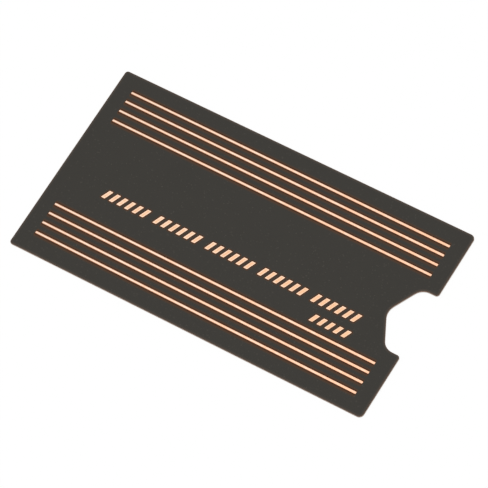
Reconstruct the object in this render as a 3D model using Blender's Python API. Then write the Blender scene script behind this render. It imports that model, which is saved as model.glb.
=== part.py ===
"""Stick-on copper and graphene heat spreader for a 22 mm wide drive card.

Three layers are bonded face to face and die-cut in one stroke: a thermal adhesive
underneath, a copper sheet, and a matt black graphene coating on top. The coating is
etched away in fine lines and slanted marks, where the bright copper shows. One end has
a notch that leaves room for the card's screw.

Units are metres. +X runs along the sheet to its notched end, +Y runs across it, and +Z
points out of the etched face. The origin is the middle of the underside.
"""

import math

import bmesh
import bpy
from mathutils import Matrix, Vector

# Die-cut outline
SHEET_LENGTH = 0.0368
SHEET_WIDTH = 0.0200
PLAIN_CORNER_RADIUS = 0.00030
NOTCHED_CORNER_RADIUS = 0.00048

# Screw notch: two lips run in square to the end, then two slanted sides meet at the root
NOTCH_MOUTH = 0.00654
NOTCH_LIP_LENGTH = 0.00160
NOTCH_DEPTH = 0.00330
LIP_CORNER_RADIUS = 0.00030
SHOULDER_RADIUS = 0.00125
ROOT_RADIUS = 0.00140

# Layers, from the underside up
ADHESIVE_THICKNESS = 0.00010
COPPER_THICKNESS = 0.00010
COATING_THICKNESS = 0.000025

# The die rolls the copper's upper edge over, and the coating ends this far in from the cut
DIE_ROLL = 0.00002
COATING_SETBACK = 0.000025

# Etched lines: one group along each long side, its middle lines a little towards +Y
LINES_PER_GROUP = 4
LINE_WIDTH = 0.00025
LINE_PITCH = 0.001075
MIDDLE_LINE_SHIFT = 0.00005
LINE_END_MARGIN = 0.00160
FAR_LINE_MARGIN = 0.00186
NEAR_LINE_MARGIN = 0.00196
LINE_CORNER_RADIUS = 0.00006

# Etched marks: a long row of slanted bars in groups, and one short group under its end
BAR_WIDTH = 0.00042
BAR_PITCH = 0.00082
BAR_LEAN = math.radians(24)
BAR_CORNER_RADIUS = 0.00005
BARS_PER_GROUP = 6
LEAST_GROUP_GAP = 0.00090
ROW_END_MARGIN = 0.00490
ROW_BASE = 0.00773
ROW_HEIGHT = 0.00092
SHORT_ROW_BASE = 0.00603
SHORT_ROW_HEIGHT = 0.00080
SHORT_ROW_BARS = 5

# The etched pattern lies this much off square to the cut, turned about the sheet's middle
PATTERN_TURN = math.radians(-0.28)

# Smoothness of the die's arcs, the rolled edge and the etched corners
DIE_ARC_STEP = math.radians(9)
DIE_ROLL_SEGMENTS = 3
ETCH_ARC_STEP = math.radians(30)

# The most of a side that the arc at one of its ends may take
LARGEST_ARC_SHARE = 0.49

# How far the etching cutter reaches past both faces of the coating
CUT_REACH = 0.0005


def clear_scene():
    """Remove every object and what only those objects used."""
    for obj in list(bpy.data.objects):
        bpy.data.objects.remove(obj, do_unlink=True)
    for blocks in (bpy.data.meshes, bpy.data.materials, bpy.data.cameras, bpy.data.lights):
        for block in list(blocks):
            if block.users == 0:
                blocks.remove(block)


def make_material(name, color, metallic, roughness):
    """Return a Principled material with one colour."""
    material = bpy.data.materials.new(name)
    material.use_nodes = True
    shader = material.node_tree.nodes["Principled BSDF"]
    shader.inputs["Base Color"].default_value = (*color, 1.0)
    shader.inputs["Metallic"].default_value = metallic
    shader.inputs["Roughness"].default_value = roughness
    material.diffuse_color = (*color, 1.0)
    return material


def inset_polygon(corners, inset):
    """Return the corners of an anticlockwise polygon after each side moves in by inset."""
    moved = []
    for index, (corner, radius) in enumerate(corners):
        before = (corner - corners[index - 1][0]).normalized()
        after = (corners[(index + 1) % len(corners)][0] - corner).normalized()
        turn = math.atan2(before.cross(after), before.dot(after))
        normal_before = Vector((-before.y, before.x))
        normal_after = Vector((-after.y, after.x))
        shift = (normal_before + normal_after) / (1 + math.cos(turn))
        new_radius = radius - math.copysign(inset, turn)
        moved.append((corner + shift * inset, max(new_radius, 0.0)))
    return moved


def round_corners(corners, arc_step):
    """Return the points of a polygon with each corner replaced by its arc."""
    points = []
    for index, (corner, radius) in enumerate(corners):
        back = corners[index - 1][0] - corner
        ahead = corners[(index + 1) % len(corners)][0] - corner
        turn = math.pi - back.angle(ahead)
        half_slope = math.tan(turn / 2)
        room = LARGEST_ARC_SHARE * min(back.length, ahead.length)
        reach = min(radius * half_slope, room)
        if reach <= 0:
            points.append(corner)
            continue
        steps = max(2, math.ceil(turn / arc_step))
        start = corner + back.normalized() * reach
        end = corner + ahead.normalized() * reach
        points += arc_points(start, end, reach / half_slope, back, steps)
    return points


def arc_points(start, end, radius, back, steps):
    """Return steps + 1 points from start to end on an arc that leaves start along -back."""
    inward = Vector((back.y, -back.x)).normalized()
    if inward.dot(end - start) < 0:
        inward.negate()
    centre = start + inward * radius
    spoke = start - centre
    sweep = spoke.angle_signed(end - centre)
    return [centre + Matrix.Rotation(-sweep * k / steps, 2) @ spoke for k in range(steps + 1)]


def die_outline(inset=0.0):
    """Return the sheet's outline, anticlockwise from the plain end's near corner."""
    end_x = SHEET_LENGTH / 2
    side_y = SHEET_WIDTH / 2
    mouth_y = NOTCH_MOUTH / 2
    near_side = [
        (Vector((-end_x, -side_y)), PLAIN_CORNER_RADIUS),
        (Vector((end_x, -side_y)), NOTCHED_CORNER_RADIUS),
        (Vector((end_x, -mouth_y)), LIP_CORNER_RADIUS),
        (Vector((end_x - NOTCH_LIP_LENGTH, -mouth_y)), SHOULDER_RADIUS),
    ]
    root = (Vector((end_x - NOTCH_DEPTH, 0.0)), ROOT_RADIUS)
    far_side = [(Vector((point.x, -point.y)), radius) for point, radius in reversed(near_side)]
    return round_corners(inset_polygon([*near_side, root, *far_side], inset), DIE_ARC_STEP)


def slot_outline(start_x, end_x, centre_y):
    """Return the outline of one etched line."""
    low = centre_y - LINE_WIDTH / 2
    high = centre_y + LINE_WIDTH / 2
    places = ((start_x, low), (end_x, low), (end_x, high), (start_x, high))
    corners = [(Vector(place), LINE_CORNER_RADIUS) for place in places]
    return round_corners(corners, ETCH_ARC_STEP)


def bar_lean(height):
    """Return how far along X the top of a slanted bar stands past its foot."""
    return height * math.tan(BAR_LEAN)


def bar_outline(start_x, base_y, height):
    """Return the outline of one slanted bar."""
    top_y = base_y + height
    lean = bar_lean(height)
    places = (
        (start_x, base_y),
        (start_x + BAR_WIDTH, base_y),
        (start_x + BAR_WIDTH + lean, top_y),
        (start_x + lean, top_y),
    )
    corners = [(Vector(place), BAR_CORNER_RADIUS) for place in places]
    return round_corners(corners, ETCH_ARC_STEP)


def bar_run_length(count):
    """Return the length of a run of bars along their feet."""
    return (count - 1) * BAR_PITCH + BAR_WIDTH


def bar_run(start_x, base_y, height, count):
    """Return one run of slanted bars, with its feet at base_y above the near side."""
    base = base_y - SHEET_WIDTH / 2
    return [bar_outline(start_x + index * BAR_PITCH, base, height) for index in range(count)]


def line_outlines():
    """Return the etched lines, each group counted in from its own side of the sheet."""
    start_x = -SHEET_LENGTH / 2 + LINE_END_MARGIN
    end_x = SHEET_LENGTH / 2 - LINE_END_MARGIN
    outlines = []
    for index in range(LINES_PER_GROUP):
        shift = MIDDLE_LINE_SHIFT if 0 < index < LINES_PER_GROUP - 1 else 0.0
        far_y = SHEET_WIDTH / 2 - FAR_LINE_MARGIN - index * LINE_PITCH
        near_y = -SHEET_WIDTH / 2 + NEAR_LINE_MARGIN + index * LINE_PITCH
        outlines.append(slot_outline(start_x, end_x, far_y + shift))
        outlines.append(slot_outline(start_x, end_x, near_y + shift))
    return outlines


def long_row_outlines():
    """Return the long row: as many groups as fit between its end margins, evenly spread."""
    group_length = bar_run_length(BARS_PER_GROUP)
    row_length = SHEET_LENGTH - 2 * ROW_END_MARGIN - bar_lean(ROW_HEIGHT)
    groups = int((row_length + LEAST_GROUP_GAP) / (group_length + LEAST_GROUP_GAP))
    group_pitch = (row_length - group_length) / max(groups - 1, 1)
    start_x = -SHEET_LENGTH / 2 + ROW_END_MARGIN
    outlines = []
    for group in range(groups):
        group_x = start_x + group * group_pitch
        outlines += bar_run(group_x, ROW_BASE, ROW_HEIGHT, BARS_PER_GROUP)
    return outlines


def short_row_outlines():
    """Return the short row, which ends level with the long one."""
    end_x = SHEET_LENGTH / 2 - ROW_END_MARGIN - bar_lean(SHORT_ROW_HEIGHT)
    start_x = end_x - bar_run_length(SHORT_ROW_BARS)
    return bar_run(start_x, SHORT_ROW_BASE, SHORT_ROW_HEIGHT, SHORT_ROW_BARS)


def plate_mesh(name, outlines, low, high):
    """Return a mesh with one flat plate between low and high for each outline."""
    work = bmesh.new()
    for outline in outlines:
        ring = [work.verts.new((point.x, point.y, low)) for point in outline]
        face = work.faces.new(ring)
        raised = bmesh.ops.extrude_face_region(work, geom=[face])["geom"]
        top = [item for item in raised if isinstance(item, bmesh.types.BMVert)]
        bmesh.ops.translate(work, verts=top, vec=(0.0, 0.0, high - low))
    bmesh.ops.recalc_face_normals(work, faces=work.faces)
    mesh = bpy.data.meshes.new(name)
    work.to_mesh(mesh)
    work.free()
    return mesh


def add_object(name, mesh, material=None):
    """Link a mesh to the scene as a named object."""
    obj = bpy.data.objects.new(name, mesh)
    bpy.context.scene.collection.objects.link(obj)
    if material is not None:
        mesh.materials.append(material)
    return obj


def add_layer(name, outline, base, thickness, material):
    """Add one plate of the stack, with its own origin on its lower face."""
    layer = add_object(name, plate_mesh(name, [outline], 0.0, thickness), material)
    layer.location.z = base
    return layer


def add_etch_cutter(base):
    """Add the hidden cutter that etches the pattern through the coating above base."""
    outlines = line_outlines() + long_row_outlines() + short_row_outlines()
    mesh = plate_mesh("etch_cutter", outlines, -CUT_REACH, COATING_THICKNESS + CUT_REACH)
    cutter = add_object("etch_cutter", mesh)
    cutter.location.z = base
    cutter.rotation_euler.z = PATTERN_TURN
    cutter.display_type = "WIRE"
    cutter.hide_render = True
    return cutter


def build_adhesive():
    """Thermal adhesive film: bonds the sheet to the chips and carries their heat up."""
    pale_film = make_material("thermal_adhesive", (0.72, 0.72, 0.69), 0.0, 0.55)
    return add_layer("thermal_adhesive", die_outline(), 0.0, ADHESIVE_THICKNESS, pale_film)


def roll_upper_edge(mesh):
    """Round the upper outer edge of a plate as the die does, by DIE_ROLL."""
    work = bmesh.new()
    work.from_mesh(mesh)
    top = max(vert.co.z for vert in work.verts)
    rim = [edge for edge in work.edges if all(vert.co.z == top for vert in edge.verts)]
    bmesh.ops.bevel(
        work,
        geom=rim,
        offset=DIE_ROLL,
        segments=DIE_ROLL_SEGMENTS,
        profile=0.5,
        affect="EDGES",
        clamp_overlap=True,
    )
    work.to_mesh(mesh)
    work.free()


def build_copper():
    """Rolled copper sheet: the layer that spreads the heat."""
    copper = make_material("copper", (0.93, 0.62, 0.42), 1.0, 0.32)
    sheet = add_layer("copper_sheet", die_outline(), ADHESIVE_THICKNESS, COPPER_THICKNESS, copper)
    roll_upper_edge(sheet.data)
    return sheet


def build_coating():
    """Graphene coating: matt black skin, etched through to the copper in lines and bars."""
    black = make_material("graphene_coating", (0.047, 0.046, 0.041), 0.0, 0.55)
    base = ADHESIVE_THICKNESS + COPPER_THICKNESS
    outline = die_outline(COATING_SETBACK)
    coating = add_layer("graphene_coating", outline, base, COATING_THICKNESS, black)
    etch = coating.modifiers.new("etched_pattern", "BOOLEAN")
    etch.operation = "DIFFERENCE"
    etch.solver = "EXACT"
    etch.object = add_etch_cutter(base)
    return coating


def build_heat_spreader():
    """Build the three bonded layers under one empty at the part's origin."""
    clear_scene()
    frame = add_object("heat_spreader", None)
    for layer in (build_adhesive(), build_copper(), build_coating()):
        layer.parent = frame


build_heat_spreader()
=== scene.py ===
"""Looks of a stick-on copper and graphene heat spreader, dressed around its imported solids.

The solids give every outline and place. This script turns them into the finished object:
a matt graphene skin with softly rounded rims, laser-bared copper in its lines and marks,
a rolled copper sheet with a sheared edge, and a pale film of thermal adhesive below.

Units are metres in the frame of the solids: +X runs along the sheet to its notched end,
+Y across it, and +Z out of the etched face.
"""

import logging
import math
from collections.abc import Iterable, Sequence
from dataclasses import dataclass
from enum import Enum

import bmesh
import bpy
from mathutils import Matrix, Vector
from mathutils.geometry import delaunay_2d_cdt


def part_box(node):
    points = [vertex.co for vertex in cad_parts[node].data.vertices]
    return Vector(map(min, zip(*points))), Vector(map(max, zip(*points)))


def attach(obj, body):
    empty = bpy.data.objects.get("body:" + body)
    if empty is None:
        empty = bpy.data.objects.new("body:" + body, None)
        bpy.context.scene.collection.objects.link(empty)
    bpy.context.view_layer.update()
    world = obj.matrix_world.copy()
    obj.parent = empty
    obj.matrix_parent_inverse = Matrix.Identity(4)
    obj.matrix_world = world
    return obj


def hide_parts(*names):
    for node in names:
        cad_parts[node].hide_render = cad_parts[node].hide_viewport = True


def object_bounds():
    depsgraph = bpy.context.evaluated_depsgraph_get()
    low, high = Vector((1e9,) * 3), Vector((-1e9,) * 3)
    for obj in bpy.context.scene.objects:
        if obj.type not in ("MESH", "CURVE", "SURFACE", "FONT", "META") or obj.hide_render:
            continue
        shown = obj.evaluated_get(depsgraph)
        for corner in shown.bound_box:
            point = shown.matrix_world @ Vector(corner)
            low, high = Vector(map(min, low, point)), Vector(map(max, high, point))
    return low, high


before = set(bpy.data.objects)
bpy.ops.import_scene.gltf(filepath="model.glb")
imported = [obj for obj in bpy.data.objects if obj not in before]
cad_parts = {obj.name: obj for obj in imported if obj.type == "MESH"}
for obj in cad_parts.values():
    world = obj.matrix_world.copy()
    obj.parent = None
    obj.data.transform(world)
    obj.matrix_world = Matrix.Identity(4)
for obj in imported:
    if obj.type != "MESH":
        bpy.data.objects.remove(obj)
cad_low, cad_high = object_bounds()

LOG = logging.getLogger("heat_spreader")

# One millimetre, and one thousandth of it
MM = 0.001
MICRON = 0.000001

# Every piece rides on the one body, because nothing on the sheet moves
BODY = "root"

# The photograph's frame, in pixels, and the width that Blender's lens is stated for
PHOTO_SIDE = 488
SENSOR_WIDTH = 36.0

# An etched window longer than this is a line, and a shorter one is a bar
LONGEST_BAR = 3.0 * MM

# A face whose normal has less than this along Z looks straight down
DOWNWARD = -0.9

# What the triangulation keeps, and how close two points are one, as a share of 1 mm
INSIDE_THE_SIDES = 1
MERGE_SHARE = 0.00001

# The sRGB curve: a straight toe up to the knee, and a power beyond it
SRGB_KNEE = 0.04045
SRGB_TOE_SLOPE = 12.92
SRGB_OFFSET = 0.055
SRGB_POWER = 2.4

# The kinds of node that the trees use more than once
NOISE = "ShaderNodeTexNoise"
CELLS = "ShaderNodeTexVoronoi"
STRETCH = "ShaderNodeMapping"
RANGE = "ShaderNodeMapRange"
MATH = "ShaderNodeMath"
VECTOR_MATH = "ShaderNodeVectorMath"
MIX = "ShaderNodeMix"
BUMP = "ShaderNodeBump"
STORED = "ShaderNodeAttribute"
SPLIT = "ShaderNodeSeparateXYZ"
JOIN = "ShaderNodeCombineXYZ"
SURFACE_FACTS = "ShaderNodeNewGeometry"
RAY_FACTS = "ShaderNodeLightPath"
BLEND_SHADERS = "ShaderNodeMixShader"
SET_PLACE = "GeometryNodeSetPosition"
STORE = "GeometryNodeStoreNamedAttribute"

# The inputs that a row of values fills, where they aren't the first ones of the node. The
# Mix node's go by number, because its inputs for colours and for floats share their names
ROW_INPUTS = {
    NOISE: ("Vector", "Scale", "Detail"),
    CELLS: ("Vector", "Scale"),
    STRETCH: ("Vector", "Scale"),
    RANGE: ("Value", "From Min", "From Max", "To Min", "To Max"),
    MIX: (0, 6, 7),
    BUMP: ("Height", "Distance"),
    STORE: ("Geometry", "Name", "Value"),
}
MIX_FLOAT_INPUTS = (0, 2, 3)

# How many finer copies of itself a noise carries
SMOOTH_DETAIL = 2.0
FINE_DETAIL = 3.0
CLOUD_DETAIL = 4.0

Point = Vector
Outline = Sequence[Point]
Ring = list[bmesh.types.BMVert]
Pair = tuple[float, float]
Colour = tuple[float, float, float, float]
Object = bpy.types.Object
Material = bpy.types.Material
Tree = bpy.types.NodeTree
Node = bpy.types.Node
Socket = bpy.types.NodeSocket
Inputs = dict[str | int, object] | Sequence[object]


class Mark(Enum):
    """A vertex attribute that tells a finish how near a rim it is, from 0 to 1."""

    SCORCH = "scorch"
    WEAR = "wear"


class FloorMark(Enum):
    """A vertex attribute that tells the bared copper its place in the window or the ridge."""

    FROM_MIDDLE = "from_window_middle"
    HALF_SIZE = "half_window_size"
    CREST = "ridge_crest"


def linear_colour(hex_code: str) -> Colour:
    """Turn an sRGB hex colour into Blender's linear colour.

    Args:
        hex_code: The colour as #RRGGBB.

    Returns:
        Red, green, blue and alpha, linear.
    """
    red, green, blue = (
        share / SRGB_TOE_SLOPE
        if share <= SRGB_KNEE
        else ((share + SRGB_OFFSET) / (1 + SRGB_OFFSET)) ** SRGB_POWER
        for share in (int(hex_code[start:start + 2], 16) / 255 for start in (1, 3, 5))
    )
    return (red, green, blue, 1.0)


def feed(node: Node, inputs: Inputs) -> None:
    """Set or link a node's inputs.

    Args:
        node: The node.
        inputs: What the inputs get, by name or number, or in a row as ROW_INPUTS says.
            Each gets a value, or what feeds it: a socket, or a node, of which it takes
            the first output in use.
    """
    if not isinstance(inputs, dict):
        inputs = dict(zip(ROW_INPUTS.get(node.bl_idname, range(len(inputs))), inputs))
    for key, value in inputs.items():
        if isinstance(value, Node):
            value = next(socket for socket in value.outputs if socket.enabled)
        if isinstance(value, Socket):
            node.id_data.links.new(value, node.inputs[key])
        else:
            node.inputs[key].default_value = value


def add_node(tree: Tree, kind: str, inputs: Inputs = (), **settings: object) -> Node:
    """Add a node with its settings and links.

    Args:
        tree: The tree that the node joins.
        kind: The node's Blender type.
        inputs: What its inputs get, as feed() takes it.
        **settings: The node's own properties.

    Returns:
        The new node.
    """
    node = tree.nodes.new(kind)
    for name, value in settings.items():
        setattr(node, name, value)
    feed(node, inputs)
    return node


def new_material(name: str, **shader_inputs: object) -> tuple[Material, Node, Socket]:
    """Start a material whose constant values sit on the shader's own sockets.

    Args:
        name: The material's name.
        **shader_inputs: Values of the Principled shader, with _ for each space.

    Returns:
        The material, its Principled shader, and the place on the object for its patterns.
    """
    material = bpy.data.materials.new(name)
    material.use_nodes = True
    shader = material.node_tree.nodes["Principled BSDF"]
    feed(shader, {socket.replace("_", " "): value for socket, value in shader_inputs.items()})
    place = add_node(material.node_tree, "ShaderNodeTexCoord").outputs["Object"]
    return material, shader, place


def per_metre(size: float) -> float:
    """Return the texture scale that makes one cell of a pattern this size."""
    return 1.0 / size


def add_object(name: str, data: bpy.types.ID) -> Object:
    """Add an object to the scene, at the origin, and return it."""
    item = bpy.data.objects.new(name, data)
    bpy.context.scene.collection.objects.link(item)
    return item


def dress(piece: Object, material: Material) -> None:
    """Give a piece its finish, and put it on the body.

    Args:
        piece: The piece, with a plain mesh of its own.
        material: The only finish that it carries.
    """
    # The mesh of a hatch brings an empty slot, which would stay in front of the finish
    piece.data.materials.clear()
    piece.data.materials.append(material)
    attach(piece, BODY)


def read_outlines(node: str) -> list[list[Point]]:
    """Read the outlines of a solid's flat underside from the frame.

    Args:
        node: The solid's node.

    Returns:
        Closed outlines, each anticlockwise seen from above, the largest first.
    """
    work = bmesh.new()
    work.from_mesh(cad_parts[node].data)
    bmesh.ops.remove_doubles(work, verts=work.verts, dist=MICRON)
    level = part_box(node)[0].z
    flat = {
        face
        for face in work.faces
        if face.normal.z < DOWNWARD and all(abs(vert.co.z - level) < MICRON for vert in face.verts)
    }
    rims = dict.fromkeys(
        edge for edge in work.edges if sum(face in flat for face in edge.link_faces) == 1
    )
    outlines = []
    while rims:
        outlines.append(walk_outline(rims))
    work.free()
    return sorted(outlines, key=signed_area, reverse=True)


def walk_outline(rims: dict[bmesh.types.BMEdge, None]) -> list[Point]:
    """Follow one closed chain of edges, and take them out of the rest.

    Args:
        rims: The edges of closed chains that don't touch each other, in a fixed order.

    Returns:
        The chain's points, anticlockwise.
    """
    edge, _ = rims.popitem()
    vert = edge.verts[1]
    points = [edge.verts[0].co.xy.copy()]
    while edge is not None:
        points.append(vert.co.xy.copy())
        edge = next((item for item in vert.link_edges if item in rims), None)
        if edge is not None:
            del rims[edge]
            vert = edge.other_vert(vert)
    points.pop()
    return points if signed_area(points) > 0 else points[::-1]


def signed_area(points: Outline) -> float:
    """Return the area inside a closed outline, positive where it runs anticlockwise."""
    return sum(a.cross(b) for a, b in zip(points, [*points[1:], points[0]])) / 2


def reach(points: Outline) -> float:
    """Return an outline's length along X."""
    return max(p.x for p in points) - min(p.x for p in points)


def grow_outline(points: Outline, distance: float) -> list[Point]:
    """Move each side of an outline along its own normal.

    Args:
        points: The outline, anticlockwise.
        distance: How far out each side moves, or in where it is negative.

    Returns:
        As many points, at the corners of the moved sides.
    """
    grown = []
    for index, point in enumerate(points):
        before = (point - points[index - 1]).normalized()
        after = (points[(index + 1) % len(points)] - point).normalized()
        normals = Vector((before.y + after.y, -before.x - after.x))
        grown.append(point + normals * distance / (1 + before.dot(after)))
    return grown


@dataclass(frozen=True)
class Station:
    """One ring of a layer's wall.

    Attributes:
        inset: How far inside the layer's own outline the ring lies.
        height: The ring's height.
        mark: The ring's value of its wall's mark.
        end_share: How much of the inset the ring keeps along X.
        drift: How far the whole ring is then moved along X and Y.
    """

    inset: float
    height: float
    mark: float = 0.0
    end_share: float = 1.0
    drift: Pair = (0.0, 0.0)

    def place(self, outline: Outline, inward: float) -> list[Vector]:
        """Return the ring's points.

        Args:
            outline: The layer's own outline, anticlockwise.
            inward: -1 where the layer lies inside the outline, and 1 where it lies outside.

        Returns:
            As many points as the outline has.
        """
        grown = grow_outline(outline, inward * self.inset)
        share = Vector((self.end_share, 1.0))
        drift = Vector(self.drift)
        flat = [old + (new - old) * share + drift for old, new in zip(outline, grown)]
        return [Vector((*point, self.height)) for point in flat]


def round_shoulder(radius: float, top: float, steps: int, mark: float = 0.0) -> list[Station]:
    """Return the rings of a quarter-round shoulder that ends level with the top.

    Args:
        radius: The shoulder's radius.
        top: The height of the flat that it meets.
        steps: How many bands the round has.
        mark: The rings' value of the wall's mark.

    Returns:
        The rings from the wall up to the flat.
    """
    angles = [math.radians(90) * step / steps for step in range(steps + 1)]
    return [
        Station(radius * (1 - math.cos(a)), top - radius * (1 - math.sin(a)), mark) for a in angles
    ]


class LayerLoft:
    """A thin closed layer made of walls between its underside and its top."""

    SHARP_ANGLE = math.radians(40)

    def __init__(self) -> None:
        """Start an empty layer."""
        self.work = bmesh.new()
        self.marks = {mark: self.work.verts.layers.float.new(mark.value) for mark in Mark}
        self.walls: list[tuple[Ring, Ring]] = []
        self.window_walls: set[int] = set()

    def add_wall(
        self, outline: Outline, stations: Sequence[Station], is_window: bool = False
    ) -> None:
        """Add the wall along one outline, marked as scorched in a window and worn outside.

        Args:
            outline: The outline, anticlockwise.
            stations: The wall's rings, from the underside to the top.
            is_window: True where the layer lies outside the outline and not in it.
        """
        inward, mark = (1.0, Mark.SCORCH) if is_window else (-1.0, Mark.WEAR)
        rings = []
        for station in stations:
            ring = [self.work.verts.new(point) for point in station.place(outline, inward)]
            for vert in ring:
                vert[self.marks[mark]] = station.mark
            rings.append(ring)
        count = len(outline)
        for below, above in zip(rings, rings[1:]):
            for here in range(count):
                there = (here + 1) % count
                self.work.faces.new((below[here], below[there], above[there], above[here]))
        if is_window:
            self.window_walls.add(len(self.walls))
        self.walls.append((rings[0], rings[-1]))

    def fill(self, rings: Sequence[Ring]) -> None:
        """Fill the flat inside the layer's rim and outside its windows.

        Args:
            rings: One ring of each wall, all at one height. Those of windows are convex.
        """
        verts = [vert for ring in rings for vert in ring]
        owners = [number for number, ring in enumerate(rings) for _ in ring]
        sides = []
        for ring in rings:
            first = len(sides)
            sides += [(first + k, first + (k + 1) % len(ring)) for k in range(len(ring))]
        places = [vert.co.xy / MM for vert in verts]
        triangles = delaunay_2d_cdt(places, sides, [], INSIDE_THE_SIDES, MERGE_SHARE)[2]
        for triangle in triangles:
            touched = {owners[corner] for corner in triangle}
            if len(touched) > 1 or not touched <= self.window_walls:
                self.work.faces.new([verts[corner] for corner in triangle])

    def finish(self, name: str) -> bpy.types.Mesh:
        """Close the layer's underside and top, and return its mesh.

        Args:
            name: The mesh's name.

        Returns:
            A closed mesh with its faces outwards and its rounds shaded smooth.
        """
        for rings in zip(*self.walls):
            self.fill(rings)
        bmesh.ops.recalc_face_normals(self.work, faces=self.work.faces)
        open_edges = sum(not edge.is_manifold for edge in self.work.edges)
        if open_edges:
            raise ValueError(f"{name} has {open_edges} open edges")
        mesh = bpy.data.meshes.new(name)
        self.work.to_mesh(mesh)
        self.work.free()
        mesh.shade_smooth()
        mesh.set_sharp_from_angle(angle=self.SHARP_ANGLE)
        return mesh


@dataclass(frozen=True)
class GrapheneLacquer:
    """Matt graphene lacquer: graphene flakes in a black binder, roller-coated and baked.

    The flakes lie flat in the binder and give a warm black with a fine, dull grain. The
    laser chars the lacquer at the brink of its cuts and browns it in a halo beyond, and the
    die thins it at the sheet's rim, where the copper's brown shows through.
    """

    name: str = "graphene_lacquer"
    body_colour: str = "#373531"
    cloud_colour: str = "#383632"
    flake_colour: str = "#413E39"
    halo_colour: str = "#4B3729"
    char_colour: str = "#3A1A04"
    wear_colour: str = "#4C423A"
    roughness: Pair = (0.60, 0.74)
    specular: float = 0.12
    cloud_size: float = 3.2 * MM
    cloud_limits: Pair = (0.15, 0.38)
    streak_width: float = 0.5 * MM
    streak_stretch: float = 0.08
    grain_size: float = 0.09 * MM
    grain_depth: float = 1.0 * MICRON
    # Real flakes are about 0.01 mm across, and are drawn this coarse so that they show
    flake_size: float = 0.10 * MM
    plain_share: float = 0.96
    flake_gloss: float = 0.22
    border_break: Pair = (0.75, 1.25)
    char_start: float = 0.5

    def material(self) -> Material:
        """Return the lacquer as a material."""
        material, shader, place = new_material(
            self.name, Metallic=0.0, IOR=1.5, Specular_IOR_Level=self.specular
        )
        tree = material.node_tree
        drawn_out = add_node(tree, STRETCH, (place, (self.streak_stretch, 1.0, 1.0)))
        clouds = add_node(tree, NOISE, (place, per_metre(self.cloud_size), CLOUD_DETAIL))
        streaks = add_node(tree, NOISE, (drawn_out, per_metre(self.streak_width), SMOOTH_DETAIL))
        grain = add_node(tree, NOISE, (place, per_metre(self.grain_size), SMOOTH_DETAIL))
        flakes = add_node(tree, CELLS, (place, per_metre(self.flake_size))).outputs["Color"]
        chance = add_node(tree, "ShaderNodeSeparateColor", (flakes,)).outputs["Red"]
        blend = add_node(tree, MATH, (clouds, streaks), operation="MULTIPLY")
        clouded = add_node(tree, RANGE, (blend, *self.cloud_limits))
        flaked = add_node(tree, RANGE, (chance, self.plain_share, 1.0))
        uneven = add_node(tree, RANGE, (grain, 0.0, 1.0, *self.border_break))
        marks = (add_node(tree, STORED, attribute_name=mark.value).outputs["Fac"] for mark in Mark)
        scorch, wear = (
            add_node(tree, MATH, (mark, uneven), operation="MULTIPLY", use_clamp=True)
            for mark in marks
        )
        browned = add_node(tree, RANGE, (scorch, 0.0, self.char_start))
        charred = add_node(tree, RANGE, (scorch, self.char_start, 1.0))
        colour = linear_colour(self.body_colour)
        for share, upper in (
            (clouded, self.cloud_colour),
            (flaked, self.flake_colour),
            (browned, self.halo_colour),
            (charred, self.char_colour),
            (wear, self.wear_colour),
        ):
            colour = add_node(tree, MIX, (share, colour, linear_colour(upper)), data_type="RGBA")
        sheen = add_node(tree, RANGE, (streaks, 0.0, 1.0, *self.roughness))
        gloss = add_node(tree, MATH, (flaked, -self.flake_gloss, sheen), operation="MULTIPLY_ADD")
        bump = add_node(tree, BUMP, (grain, self.grain_depth))
        feed(shader, {"Base Color": colour, "Roughness": gloss, "Normal": bump})
        return material


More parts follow.
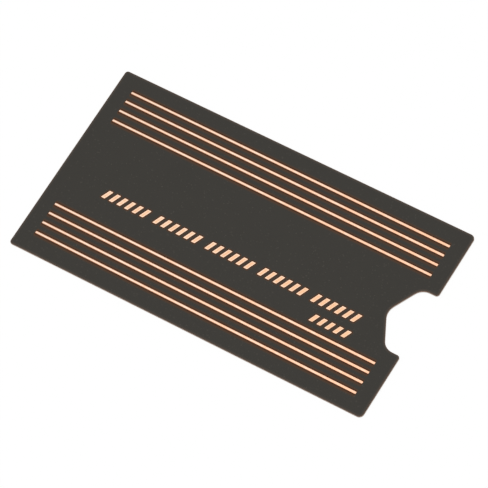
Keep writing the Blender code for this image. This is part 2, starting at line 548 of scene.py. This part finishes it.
@dataclass(frozen=True)
class BaredCopper:
    """Copper bared by a laser: the beam lifts the lacquer and leaves clean, satin metal.

    The scan leaves ridges, which are in the mesh, and painted shade darkens the troughs
    between them.
    Each pass melts the metal a little differently, which gives short bands of paler and
    redder copper. A shape that is first drawn round and then filled has a pale contour and
    a warmer inside. The smoke tints the metal orange along the brink of the lacquer. The
    copper is painted paler towards the plain end and redder towards the notched end: this is
    a painted reflection, brighter at the plain end. The tint is broad at the plain end and
    narrow at the notched one, where the metal is bared almost to the brink.

    Attributes:
        end_tints: How wide the tint is at the plain end and at the notched one.
        has_tinted_ends: Whether a window's ends are tinted too, and not its sides alone.
        fill_heat: How much colder the contour is than the rest, and how much warmer the
            inside, as shares of the step from the pale colour to the warm one.
        contour_limits: How far from the wall the contour fades into the inside.
        trough_light: The troughs' light, as a share of the crests'.
        band_heat: The most that a band is colder or warmer, as such shares.
    """

    name: str
    pale_colour: str
    warm_colour: str
    end_tints: Pair
    has_tinted_ends: bool
    fill_heat: Pair
    contour_limits: Pair = (0.045 * MM, 0.135 * MM)
    tint_colour: str = "#BE7A4C"
    trough_shade_colour: str = "#000000"
    trough_light: float = 0.86
    roughness: Pair = (0.34, 0.50)
    band_length: float = 0.45 * MM
    band_limits: Pair = (0.3, 0.7)
    band_heat: Pair = (-0.3, 0.3)
    pit_size: float = 0.03 * MM
    pit_depth: float = 0.8 * MICRON

    def material(self) -> Material:
        """Return the bared copper as a material."""
        material, shader, place = new_material(self.name, Metallic=1.0)
        tree = material.node_tree
        along = add_node(tree, SPLIT, (place,)).outputs["X"]
        bands = add_node(tree, NOISE, (place, per_metre(self.band_length), FINE_DETAIL))
        pits = add_node(tree, NOISE, (place, per_metre(self.pit_size), SMOOTH_DETAIL))
        from_middle, half_size, crest = (
            add_node(tree, STORED, attribute_name=mark.value).outputs for mark in FloorMark
        )
        distance = self.wall_distance(tree, from_middle["Vector"], half_size["Vector"])
        # Painted reflection: along X the copper turns from paler at the plain end to redder at the
        # notched end
        toward_notched_end = add_node(tree, RANGE, (along, cad_low.x, cad_high.x))
        scatter = add_node(tree, RANGE, (bands, *self.band_limits, *self.band_heat))
        filling = add_node(tree, RANGE, (distance, *self.contour_limits, *self.fill_heat))
        bands_and_painted_reflection = add_node(tree, MATH, (toward_notched_end, scatter), operation="ADD")
        redness = add_node(tree, MATH, (bands_and_painted_reflection, filling), operation="ADD", use_clamp=True)
        # Painted shade: the troughs between the ridges are mixed towards black, down to
        # trough_light of the crests' colour
        light = add_node(tree, RANGE, (crest["Fac"], 0.0, 1.0, self.trough_light, 1.0))
        tint_width = add_node(tree, RANGE, (toward_notched_end, 0.0, 1.0, *self.end_tints))
        clear = add_node(tree, RANGE, (distance, 0.0, tint_width))
        colour = linear_colour(self.warm_colour)
        for share, lower in (
            (redness, self.pale_colour),
            (light, self.trough_shade_colour),
            (clear, self.tint_colour),
        ):
            colour = add_node(tree, MIX, (share, linear_colour(lower), colour), data_type="RGBA")
        satin = add_node(tree, RANGE, (pits, 0.0, 1.0, *self.roughness))
        bump = add_node(tree, BUMP, (pits, self.pit_depth))
        feed(shader, {"Base Color": colour, "Roughness": satin, "Normal": bump})
        return material

    def wall_distance(self, tree: Tree, from_middle: Socket, half_size: Socket) -> Node | Socket:
        """Return the distance to the nearest wall that tints the metal, in metres.

        Args:
            tree: The material's tree.
            from_middle: The place in the window, from its middle.
            half_size: Half of the window's run and span.

        Returns:
            What gives the distance.
        """
        away = add_node(tree, VECTOR_MATH, (from_middle,), operation="ABSOLUTE")
        room = add_node(tree, VECTOR_MATH, (half_size, away), operation="SUBTRACT")
        parts = add_node(tree, SPLIT, (room,)).outputs
        if not self.has_tinted_ends:
            return parts["Y"]
        return add_node(tree, MATH, (parts["X"], parts["Y"]), operation="MINIMUM")


@dataclass(frozen=True)
class RolledCopper:
    """Rolled copper, die-cut: satin rolling lines on its faces, and a cut edge painted darker and
    browner.

    The die shears the upper part of the edge bright and tears the lower part dull. The cut
    edge is painted a darker brown than the faces, as painted shade, and its torn part darker
    still.

    Attributes:
        roughness: Of the torn part, and of the rest.
        shear_share: How much of the edge is sheared, as a share of the sheet's thickness.
        shear_wander: How far the border to the torn part wanders, as such a share.
        shear_blur: How soft that border is, as such a share.
        face_limits: Between these the surface turns from a side into a flat face, by how
            much of its normal is along Z.
    """

    name: str = "die_cut_copper"
    node: str = "copper_sheet"
    face_colour: str = "#907362"
    shaded_sheared_colour: str = "#83695A"
    shaded_torn_colour: str = "#604B40"
    roughness: Pair = (0.58, 0.38)
    rolling_line_width: float = 0.05 * MM
    shear_line_width: float = 0.06 * MM
    line_stretch: float = 0.03
    line_depth: float = 1.0 * MICRON
    shear_share: float = 0.6
    shear_wander: float = 0.2
    shear_blur: float = 0.15
    face_limits: Pair = (0.55, 0.95)

    def material(self) -> Material:
        """Return the copper as a material."""
        material, shader, place = new_material(self.name, Metallic=1.0)
        tree = material.node_tree
        low, high = (corner.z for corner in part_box(self.node))
        wander, blur = (share * (high - low) for share in (self.shear_wander, self.shear_blur))
        border = high - self.shear_share * (high - low)
        along = add_node(tree, STRETCH, (place, (self.line_stretch, 1.0, 1.0)))
        upright = add_node(tree, STRETCH, (place, (1.0, 1.0, self.line_stretch)))
        rolling = add_node(tree, NOISE, (along, per_metre(self.rolling_line_width), SMOOTH_DETAIL))
        shearing = add_node(tree, NOISE, (upright, per_metre(self.shear_line_width), FINE_DETAIL))
        height = add_node(tree, SPLIT, (place,)).outputs["Z"]
        level = add_node(tree, MATH, (shearing, wander, height), operation="MULTIPLY_ADD")
        sheared = add_node(tree, RANGE, (level, border, border + blur))
        normal = add_node(tree, SURFACE_FACTS).outputs["Normal"]
        facing = add_node(tree, SPLIT, (normal,)).outputs["Z"]
        flatness = add_node(tree, MATH, (facing,), operation="ABSOLUTE")
        face = add_node(tree, RANGE, (flatness, *self.face_limits))
        # Painted shade: the cut edge's sheared and torn browns are darker than the face colour
        colour = linear_colour(self.shaded_torn_colour)
        for share, upper in ((sheared, self.shaded_sheared_colour), (face, self.face_colour)):
            colour = add_node(tree, MIX, (share, colour, linear_colour(upper)), data_type="RGBA")
        dull = add_node(tree, RANGE, (sheared, 0.0, 1.0, *self.roughness))
        patterns = dict(zip(MIX_FLOAT_INPUTS, (face, shearing, rolling)))
        lines = add_node(tree, MIX, patterns, data_type="FLOAT")
        bump = add_node(tree, BUMP, (lines, self.line_depth))
        feed(shader, {"Base Color": colour, "Roughness": dull, "Normal": bump})
        return material


@dataclass(frozen=True)
class ThermalAdhesive:
    """Filled acrylic film: ceramic powder in a clear tacky binder, cast on a liner.

    The powder makes it a milky pale grey with a soft gloss, and the liner leaves it
    almost flat, with a shallow dimple here and there.
    """

    name: str = "thermal_adhesive_film"
    film_colour: str = "#E9E8E3"
    filler_colour: str = "#DCDBD5"
    roughness: Pair = (0.36, 0.56)
    filler_size: float = 0.12 * MM
    filler_limits: Pair = (0.15, 0.4)
    cloud_size: float = 4.0 * MM
    dimple_size: float = 0.9 * MM
    dimple_depth: float = 6.0 * MICRON

    def material(self) -> Material:
        """Return the adhesive as a material."""
        material, shader, place = new_material(self.name, Metallic=0.0, IOR=1.47, Coat_Weight=0.15)
        tree = material.node_tree
        filler = add_node(tree, NOISE, (place, per_metre(self.filler_size), FINE_DETAIL))
        clouds = add_node(tree, NOISE, (place, per_metre(self.cloud_size), FINE_DETAIL))
        blend = add_node(tree, MATH, (filler, clouds), operation="MULTIPLY")
        filled = add_node(tree, RANGE, (blend, *self.filler_limits))
        film, powder = linear_colour(self.film_colour), linear_colour(self.filler_colour)
        colour = add_node(tree, MIX, (filled, film, powder), data_type="RGBA")
        tack = add_node(tree, RANGE, (clouds, 0.0, 1.0, *self.roughness))
        dimples = add_node(tree, CELLS, (place, per_metre(self.dimple_size)), feature="SMOOTH_F1")
        bump = add_node(tree, BUMP, (dimples, self.dimple_depth))
        feed(shader, {"Base Color": colour, "Roughness": tack, "Normal": bump})
        return material


@dataclass
class BondedLayer:
    """One layer of the sheet, which is built in the place of its solid.

    Attributes:
        name: The piece's name.
        node: The solid that it stands for.
        slot: The record's material slot. Not used.
        finish: What it is made of.
    """

    name: str
    node: str
    slot: str
    finish: GrapheneLacquer | RolledCopper | ThermalAdhesive

    def build(self) -> Object:
        """Build the layer between its solid's underside and top, and dress it.

        Returns:
            The finished piece.
        """
        low, high = (corner.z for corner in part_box(self.node))
        rim, *windows = read_outlines(self.node)
        loft = LayerLoft()
        loft.add_wall(rim, self.rim_wall(low, high))
        for window in windows:
            loft.add_wall(window, self.window_wall(reach(window), low, high), is_window=True)
        piece = add_object(self.name, loft.finish(self.name))
        dress(piece, self.finish.material())
        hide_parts(self.node)
        return piece

    def rim_wall(self, low: float, high: float) -> list[Station]:
        """Return the rings of the layer's outer side, which each kind of layer shapes."""
        raise NotImplementedError

    def window_wall(self, window_reach: float, low: float, high: float) -> list[Station]:
        """Return the rings of a window's side, which a layer with windows shapes."""
        raise NotImplementedError


@dataclass
class GrapheneSkin(BondedLayer):
    """The matt black skin, with a soft shoulder round each etched window and at its rim."""

    name: str = "graphene_skin"
    node: str = "graphene_coating"
    slot: str = "graphene_coating"
    finish: GrapheneLacquer = GrapheneLacquer()
    window_shoulder: float = 0.008 * MM
    rim_shoulder: float = 0.015 * MM
    shoulder_steps: int = 3
    line_scorch_width: float = 0.33 * MM
    line_end_share: float = 0.25
    line_halo_drift: Pair = (0.0, -0.04 * MM)
    bar_scorch_width: float = 0.17 * MM
    bar_halo_drift: Pair = (0.02 * MM, -0.02 * MM)
    wear_width: float = 0.24 * MM

    def rim_wall(self, low: float, high: float) -> list[Station]:
        """Return the rings of the skin's outer side, marked as worn towards the cut."""
        shoulder = round_shoulder(self.rim_shoulder, high, self.shoulder_steps, mark=1.0)
        return [Station(0.0, low, mark=1.0), *shoulder, Station(self.wear_width, high)]

    def window_wall(self, window_reach: float, low: float, high: float) -> list[Station]:
        """Return the rings of a window's side, out to where its scorch ends.

        Args:
            window_reach: The window's length along X, which tells a line from a bar.
            low: The height of the skin's underside.
            high: The height of its top.

        Returns:
            The rings. The last one is moved aside by its drift, and it keeps closer to the
            ends of a line than to its sides.
        """
        halo = Station(self.bar_scorch_width, high, drift=self.bar_halo_drift)
        if window_reach > LONGEST_BAR:
            halo = Station(
                self.line_scorch_width, high, 0.0, self.line_end_share, self.line_halo_drift
            )
        brink = round_shoulder(self.window_shoulder, high, self.shoulder_steps, mark=1.0)
        return [Station(0.0, low, mark=1.0), *brink, halo]


@dataclass
class CopperSheet(BondedLayer):
    """The rolled copper sheet, with the rolled, sheared and torn bands of a die-cut edge."""

    name: str = "copper_core"
    node: str = "copper_sheet"
    slot: str = "rolled_copper"
    finish: RolledCopper = RolledCopper()
    die_roll: float = 0.02 * MM
    roll_steps: int = 4
    tear_height: float = 0.04 * MM
    tear_depth: float = 0.005 * MM
    foot_height: float = 0.008 * MM

    def rim_wall(self, low: float, high: float) -> list[Station]:
        """Return the rings of the cut edge: torn in, sheared straight and rolled over."""
        return [
            Station(self.tear_depth, low),
            Station(self.tear_depth, low + self.foot_height),
            Station(self.tear_depth / 2, low + self.tear_height / 2),
            Station(0.0, low + self.tear_height),
            *round_shoulder(self.die_roll, high, self.roll_steps),
        ]


@dataclass
class AdhesiveFilm(BondedLayer):
    """The thermal adhesive below the copper, which the die has drawn in at its cut edge."""

    name: str = "adhesive_film"
    node: str = "thermal_adhesive"
    slot: str = "thermal_adhesive"
    finish: ThermalAdhesive = ThermalAdhesive()
    waist: float = 0.010 * MM
    bands: int = 6

    def rim_wall(self, low: float, high: float) -> list[Station]:
        """Return the rings of the film's side, drawn in most at half its height."""
        shares = [band / self.bands for band in range(self.bands + 1)]
        return [
            Station(self.waist * math.sin(math.pi * share), low + share * (high - low))
            for share in shares
        ]


class HatchTree:
    """Geometry Nodes that lay a floor of laser ridges at each point of a mesh.

    A floor is a grid as large as its window, with its corners rounded and its sides leant.
    A thin bed is raised from it, the bed's top is drawn up into ridges along the grid's X,
    and the whole floor is turned to its heading.
    """

    BANDS_PER_RIDGE = 4.0
    ROW_ENDS = 2
    MERGE_DISTANCE = 0.1 * MICRON
    SHARP_ANGLE = math.radians(50)
    SIZES = (
        "Run", "Span", "Lean", "Heading", "Corner Radius", "Ridge Pitch", "Ridge Height", "Bed"
    )

    # The name of each result, its operation, and its terms: numbers, the tree's inputs, the
    # x and y of a point, or results above it. A ridge is a squared sine
    SUMS = (
        ("fitting", "DIVIDE", "Span", "Ridge Pitch"),
        ("whole", "ROUND", "fitting"),
        ("ridges", "MAXIMUM", "whole", 1.0),
        ("rows", "MULTIPLY_ADD", "ridges", BANDS_PER_RIDGE, 1.0),
        ("half run", "MULTIPLY", "Run", 0.5),
        ("half span", "MULTIPLY", "Span", 0.5),
        ("ridges of y", "MULTIPLY", "y", "ridges"),
        ("from middle", "DIVIDE", "ridges of y", "Span"),
        ("from side", "MULTIPLY_ADD", "ridges", 0.5, "from middle"),
        ("phase", "MULTIPLY", "from side", math.pi),
        ("wave", "SINE", "phase"),
        ("crest", "POWER", "wave", 2.0),
        ("lift", "MULTIPLY", "crest", "Ridge Height"),
        ("away", "ABSOLUTE", "y"),
        ("straight side", "SUBTRACT", "half span", "Corner Radius"),
        ("beyond", "SUBTRACT", "away", "straight side"),
        ("in corner", "MAXIMUM", "beyond", 0.0),
        ("corner height", "MINIMUM", "in corner", "Corner Radius"),
        ("height squared", "POWER", "corner height", 2.0),
        ("radius squared", "POWER", "Corner Radius", 2.0),
        ("width squared", "SUBTRACT", "radius squared", "height squared"),
        ("corner width", "SQRT", "width squared"),
        ("cut", "SUBTRACT", "Corner Radius", "corner width"),
        ("cut run", "SUBTRACT", "half run", "cut"),
        ("kept", "DIVIDE", "cut run", "half run"),
        ("slope", "TANGENT", "Lean"),
        ("leaning", "MULTIPLY", "y", "slope"),
        ("along", "MULTIPLY_ADD", "x", "kept", "leaning"),
    )

    def __init__(self) -> None:
        """Build the tree with a named input for each size and for the material."""
        self.tree = bpy.data.node_groups.new("laser_hatch", "GeometryNodeTree")
        face = self.tree.interface
        inputs = [("Points", "NodeSocketGeometry"), ("Material", "NodeSocketMaterial")]
        inputs += [(size, "NodeSocketFloat") for size in self.SIZES]
        self.identifiers = {
            name: face.new_socket(name=name, in_out="INPUT", socket_type=kind).identifier
            for name, kind in inputs
        }
        face.new_socket(name="Floors", in_out="OUTPUT", socket_type="NodeSocketGeometry")
        self.wire()

    def wire(self) -> None:
        """Add and link every node of the tree."""
        tree = self.tree
        known = {given.name: given for given in add_node(tree, "NodeGroupInput").outputs}
        place = add_node(tree, "GeometryNodeInputPosition")
        parts = add_node(tree, SPLIT, (place,)).outputs
        known |= {"x": parts["X"], "y": parts["Y"]}
        for name, operation, *terms in self.SUMS:
            values = [known.get(term, term) for term in terms]
            known[name] = add_node(tree, MATH, values, operation=operation)
        grid = (known["Run"], known["Span"], self.ROW_ENDS, known["rows"])
        flat = add_node(tree, "GeometryNodeMeshGrid", grid)
        half_size = add_node(tree, JOIN, (known["half run"], known["half span"]))
        for mark, data_type, value in (
            (FloorMark.FROM_MIDDLE, "FLOAT_VECTOR", place),
            (FloorMark.HALF_SIZE, "FLOAT_VECTOR", half_size),
            (FloorMark.CREST, "FLOAT", known["crest"]),
        ):
            flat = add_node(tree, STORE, (flat, mark.value, value), data_type=data_type)
        plan_place = add_node(tree, JOIN, (known["along"], known["y"]))
        plan = add_node(tree, SET_PLACE, {"Geometry": flat, "Position": plan_place})
        upwards = {"Offset": (0.0, 0.0, 1.0), "Offset Scale": known["Bed"], "Individual": False}
        raised = add_node(tree, "GeometryNodeExtrudeMesh", {"Mesh": plan, **upwards})
        lift = add_node(tree, JOIN, {"Z": known["lift"]})
        drawn_up = {"Geometry": raised, "Selection": raised.outputs["Top"], "Offset": lift}
        ridged = add_node(tree, SET_PLACE, drawn_up)
        joined = add_node(tree, "GeometryNodeJoinGeometry", (ridged,))
        feed(joined, (add_node(tree, "GeometryNodeFlipFaces", (plan,)),))
        closed = {"Geometry": joined, "Distance": self.MERGE_DISTANCE}
        floor = add_node(tree, "GeometryNodeMergeByDistance", closed)
        turn = add_node(tree, JOIN, {"Z": known["Heading"]})
        laid = {"Points": known["Points"], "Instance": floor, "Rotation": turn}
        floors = add_node(tree, "GeometryNodeInstanceOnPoints", laid)
        real = add_node(tree, "GeometryNodeRealizeInstances", (floors,))
        dressed = {"Geometry": real, "Material": known["Material"]}
        add_node(tree, "NodeGroupOutput", (add_node(tree, "GeometryNodeSetMaterial", dressed),))

    def lay(
        self, name: str, centres: Iterable[Vector], sizes: dict[str, float], material: Material
    ) -> Object:
        """Lay one kind of floor at each centre, as one plain mesh.

        Args:
            name: The piece's name.
            centres: The middle of each window, on the copper.
            sizes: A value for each of the tree's sizes.
            material: The floors' finish.

        Returns:
            The piece, with no modifier left on it.
        """
        points = bpy.data.meshes.new(f"{name}_centres")
        points.from_pydata([tuple(centre) for centre in centres], [], [])
        piece = add_object(name, points)
        modifier = piece.modifiers.new("laser_hatch", "NODES")
        modifier.node_group = self.tree
        for size, value in sizes.items():
            modifier[self.identifiers[size]] = value
        modifier[self.identifiers["Material"]] = material
        evaluated = piece.evaluated_get(bpy.context.evaluated_depsgraph_get())
        mesh = bpy.data.meshes.new_from_object(evaluated)
        mesh.name = name
        piece.modifiers.remove(modifier)
        piece.data = mesh
        bpy.data.meshes.remove(points)
        mesh.shade_smooth()
        mesh.set_sharp_from_angle(angle=self.SHARP_ANGLE)
        return piece


@dataclass
class EtchedCopper:
    """The bared copper at the bottom of the lines and of the slanted marks."""

    node: str = "graphene_coating"
    slot: str = "rolled_copper"
    clearance: float = 2.0 * MICRON
    line_width: float = 0.25 * MM
    line_corner: float = 0.06 * MM
    bar_width: float = 0.42 * MM
    bar_corner: float = 0.05 * MM
    bar_lean: float = math.radians(24)
    height_step: float = 10.0 * MICRON
    ridge_pitch: float = 0.05 * MM
    ridge_height: float = 4.0 * MICRON
    bed: float = 2.0 * MICRON
    line_finish: BaredCopper = BaredCopper(
        name="bared_copper_fine_pass",
        pale_colour="#FFEBD8",
        warm_colour="#FFCCAA",
        end_tints=(0.120 * MM, 0.035 * MM),
        has_tinted_ends=False,
        fill_heat=(0.0, 0.0),
    )
    bar_finish: BaredCopper = BaredCopper(
        name="bared_copper_filled",
        pale_colour="#FFE0C6",
        warm_colour="#F4C29A",
        end_tints=(0.040 * MM, 0.020 * MM),
        has_tinted_ends=True,
        fill_heat=(-0.6, 0.6),
    )

    def build(self) -> list[Object]:
        """Lay the floors of the lines and of the marks.

        Returns:
            The finished pieces.
        """
        windows = read_outlines(self.node)[1:]
        lines = [window for window in windows if reach(window) > LONGEST_BAR]
        bars = [window for window in windows if reach(window) <= LONGEST_BAR]
        heading = self.heading(lines[0])
        sizes = self.sizes(reach(lines[0]), self.line_width, 0.0, heading, self.line_corner)
        kinds = [("etched_lines", lines, sizes, self.line_finish.material())]
        bar_material = self.bar_finish.material()
        rows = self.group_by_height(bars, heading)
        for name, (height, row) in zip(("etched_long_row", "etched_short_row"), rows):
            sizes = self.sizes(self.bar_width, height, self.bar_lean, heading, self.bar_corner)
            kinds.append((name, row, sizes, bar_material))
        hatch = HatchTree()
        pieces = []
        for name, row, sizes, material in kinds:
            piece = hatch.lay(name, self.centres(row), sizes, material)
            dress(piece, material)
            pieces.append(piece)
        return pieces

    def sizes(
        self, run: float, span: float, lean: float, heading: float, corner: float
    ) -> dict[str, float]:
        """Return the hatch sizes for one kind of window, less the clearance to its walls.

        Args:
            run: The window's length along its ridges.
            span: Its width across them.
            lean: How far its sides lean from square.
            heading: The direction of its ridges.
            corner: The radius of its corners.

        Returns:
            A value for each input of the hatch tree.
        """
        return {
            "Run": run - 2 * self.clearance,
            "Span": span - 2 * self.clearance,
            "Lean": lean,
            "Heading": heading,
            "Corner Radius": corner,
            "Ridge Pitch": self.ridge_pitch,
            "Ridge Height": self.ridge_height,
            "Bed": self.bed,
        }

    @staticmethod
    def heading(line: Outline) -> float:
        """Return the direction of a long window's longest side, which runs towards +X."""
        sides = [after - before for before, after in zip(line, [*line[1:], line[0]])]
        longest = max(sides, key=lambda side: side.x)
        return math.atan2(longest.y, longest.x)

    def centres(self, windows: Iterable[Outline]) -> list[Vector]:
        """Return the middle of each window, on top of the copper."""
        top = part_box(self.node)[0].z
        middles = []
        for window in windows:
            across = [[point[axis] for point in window] for axis in (0, 1)]
            middles.append(Vector((*((min(side) + max(side)) / 2 for side in across), top)))
        return middles

    def group_by_height(
        self, bars: Iterable[Outline], heading: float
    ) -> list[tuple[float, list[Outline]]]:
        """Sort the bars by how tall they stand, the tallest kind first.

        Args:
            bars: The bars' outlines.
            heading: The direction of their row.

        Returns:
            For each kind, its height across the row and its bars.
        """
        upright = Matrix.Rotation(-heading, 2)
        kinds: dict[int, list[Outline]] = {}
        for bar in bars:
            levels = [(upright @ point).y for point in bar]
            kinds.setdefault(round((max(levels) - min(levels)) / self.height_step), []).append(bar)
        return [(kind * self.height_step, kinds[kind]) for kind in sorted(kinds, reverse=True)]


@dataclass(frozen=True)
class Softbox:
    """A square area light, placed by its direction from the sheet."""

    name: str
    azimuth: float
    elevation: float
    distance: float
    side: float
    radiance: float

    def build(self) -> None:
        """Add the light, facing the sheet, with the power that gives its radiance."""
        light = bpy.data.lights.new(self.name, "AREA")
        light.shape = "SQUARE"
        light.size = self.side
        light.energy = self.radiance * math.pi * self.side**2
        holder = add_object(self.name, light)
        towards = direction(self.azimuth, self.elevation)
        holder.location = towards * self.distance
        holder.rotation_mode = "QUATERNION"
        holder.rotation_quaternion = towards.to_track_quat("Z", "Y")


@dataclass
class Studio:
    """A white floor, an even white surround and soft lights."""

    floor_side: float = 4.0
    floor_gap: float = 20.0 * MICRON
    contact_reach: float = 0.5 * MM
    floor_colour: str = "#FAFAFA"
    floor_glow_share: float = 0.9
    surround: float = 0.82
    softboxes: tuple[Softbox, ...] = (
        Softbox(
            name="key_softbox",
            azimuth=math.radians(60),
            elevation=math.radians(84),
            distance=0.45,
            side=0.2,
            radiance=2.5,
        ),
        Softbox(
            name="side_softbox",
            azimuth=math.radians(320),
            elevation=math.radians(55),
            distance=0.7,
            side=0.5,
            radiance=0.8,
        ),
    )

    def build(self) -> None:
        """Build the floor, the surround and the lights."""
        self.build_floor()
        self.build_surround()
        for softbox in self.softboxes:
            softbox.build()

    def build_floor(self) -> None:
        """Lay the floor just under the sheet."""
        half = self.floor_side / 2
        corners = [(-half, -half), (half, -half), (half, half), (-half, half)]
        mesh = bpy.data.meshes.new("floor")
        level = cad_low.z - self.floor_gap
        mesh.from_pydata([(x, y, level) for x, y in corners], [], [(0, 1, 2, 3)])
        mesh.materials.append(self.floor_material())
        add_object("floor", mesh)

    def floor_material(self) -> Material:
        """Return matt white paper that the camera sees as white with the sheet's shadow.

        It is clear from below, and to rays that start within the contact reach above it,
        so that a view from below shows the underside in the same even light.
        """
        material = bpy.data.materials.new("studio_paper")
        material.use_nodes = True
        tree = material.node_tree
        tree.nodes.clear()
        paper = add_node(tree, "ShaderNodeBsdfDiffuse", (linear_colour(self.floor_colour),))
        white = add_node(tree, "ShaderNodeEmission", {"Strength": 1.0})
        shares = (seen_directly(tree), self.floor_glow_share)
        glow = add_node(tree, MATH, shares, operation="MULTIPLY")
        upper_side = add_node(tree, BLEND_SHADERS, (glow, paper, white))
        below = add_node(tree, SURFACE_FACTS).outputs["Backfacing"]
        length = add_node(tree, RAY_FACTS).outputs["Ray Length"]
        touching = add_node(tree, MATH, (length, self.contact_reach), operation="LESS_THAN")
        open_way = add_node(tree, MATH, (below, touching), operation="MAXIMUM")
        clear = add_node(tree, "ShaderNodeBsdfTransparent")
        surface = add_node(tree, BLEND_SHADERS, (open_way, upper_side, clear))
        add_node(tree, "ShaderNodeOutputMaterial", {"Surface": surface})
        return material

    def build_surround(self) -> None:
        """Light the sheet evenly from all round, and show the camera plain white."""
        world = bpy.data.worlds.new("studio")
        bpy.context.scene.world = world
        world.use_nodes = True
        tree = world.node_tree
        tree.nodes.clear()
        light, white = (
            add_node(tree, "ShaderNodeBackground", (linear_colour("#FFFFFF"), strength))
            for strength in (self.surround, 1.0)
        )
        mix = add_node(tree, BLEND_SHADERS, (seen_directly(tree), light, white))
        add_node(tree, "ShaderNodeOutputWorld", {"Surface": mix})


def seen_directly(tree: Tree) -> Node:
    """Return 1 for what the camera, a reflection or a clear body shows, and 0 for light."""
    path = add_node(tree, RAY_FACTS).outputs
    seen = path["Is Camera Ray"]
    for ray in ("Is Glossy Ray", "Is Transmission Ray"):
        seen = add_node(tree, MATH, (seen, path[ray]), operation="MAXIMUM")
    return seen


def direction(azimuth: float, elevation: float) -> Vector:
    """Return the unit vector towards a direction, where azimuth 0 is along -Y."""
    level = math.cos(elevation)
    return Vector((math.sin(azimuth) * level, -math.cos(azimuth) * level, math.sin(elevation)))


@dataclass(frozen=True)
class PhotoCamera:
    """The photograph's viewpoint, fitted to the sheet's corners and to its lines.

    Attributes:
        azimuth: Direction of the camera round the sheet.
        elevation: Its height above the floor, as an angle.
        roll: How far it is turned about its own view.
        distance: From the middle of the etched face.
        focal_length: In photograph pixels.
        aim_x: How far right of the view's middle the sheet's middle stands.
        aim_y: How far above it.
    """

    azimuth: float = math.radians(44.487)
    elevation: float = math.radians(61.628)
    roll: float = math.radians(-14.83)
    distance: float = 333.19 * MM
    focal_length: float = 3748.5
    aim_x: float = -0.300 * MM
    aim_y: float = 0.408 * MM

    def build(self) -> None:
        """Add the camera and make it the scene's own."""
        back = direction(self.azimuth, self.elevation)
        level = Vector((math.cos(self.azimuth), math.sin(self.azimuth), 0.0))
        upright = back.cross(level)
        right = math.cos(self.roll) * level + math.sin(self.roll) * upright
        up = math.cos(self.roll) * upright - math.sin(self.roll) * level
        middle = Vector((0.0, 0.0, cad_high.z))
        place = middle + back * self.distance - right * self.aim_x - up * self.aim_y
        lens = bpy.data.cameras.new("photo_camera")
        lens.sensor_width = SENSOR_WIDTH
        lens.lens = self.focal_length * SENSOR_WIDTH / PHOTO_SIDE
        camera = add_object("photo_camera", lens)
        turn = Matrix((right, up, back)).transposed().to_4x4()
        camera.matrix_world = Matrix.Translation(place) @ turn
        bpy.context.scene.camera = camera


def report(pieces: Iterable[Object]) -> None:
    """Log each piece with its material and its number of triangles."""
    for piece in pieces:
        triangles = sum(len(polygon.vertices) - 2 for polygon in piece.data.polygons)
        LOG.info("%s: %s, %d triangles", piece.name, piece.active_material.name, triangles)


def main() -> None:
    """Set up the camera and the studio, build the pieces and report them."""
    logging.basicConfig(level=logging.INFO, format="%(name)s: %(message)s")
    bpy.context.scene.view_settings.view_transform = "Standard"
    PhotoCamera().build()
    Studio().build()
    report(layer.build() for layer in (AdhesiveFilm(), CopperSheet(), GrapheneSkin()))
    report(EtchedCopper().build())


if __name__ == "__main__":
    main()
